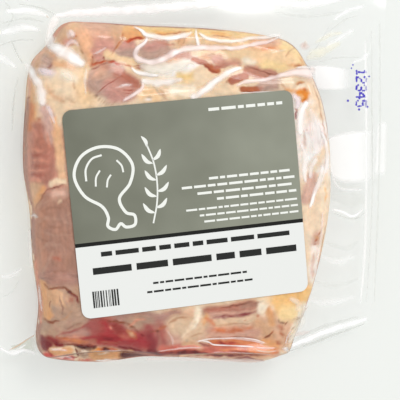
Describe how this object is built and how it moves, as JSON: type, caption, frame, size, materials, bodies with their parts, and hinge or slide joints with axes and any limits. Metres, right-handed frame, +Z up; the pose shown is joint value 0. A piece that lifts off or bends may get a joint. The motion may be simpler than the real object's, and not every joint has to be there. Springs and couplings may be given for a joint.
{
  "type": "vacuum pack of raw chicken thighs",
  "caption": "Clear vacuum-sealed pouch of raw boneless, skinless chicken thighs pressed into a block, with a flat flange of film and a paper label on the front.",
  "frame": {"origin": "middle of the pack's outline seen from above, on the surface that the pack lies on", "axes": "+Z up, out of the label side, across the pack's thickness; +Y along the pack towards its wide end flange, the top of the label; +X to the right of the label"},
  "size_m": [0.207, 0.227, 0.0391],
  "materials": {
    "film": "clear glossy film over raw meat",
    "label": "coated paper, satin, grey-olive above a thin dark stripe and white below"
  },
  "bodies": {
    "root": {"pouch": "film", "label": "label"}
  },
  "joints": []
}
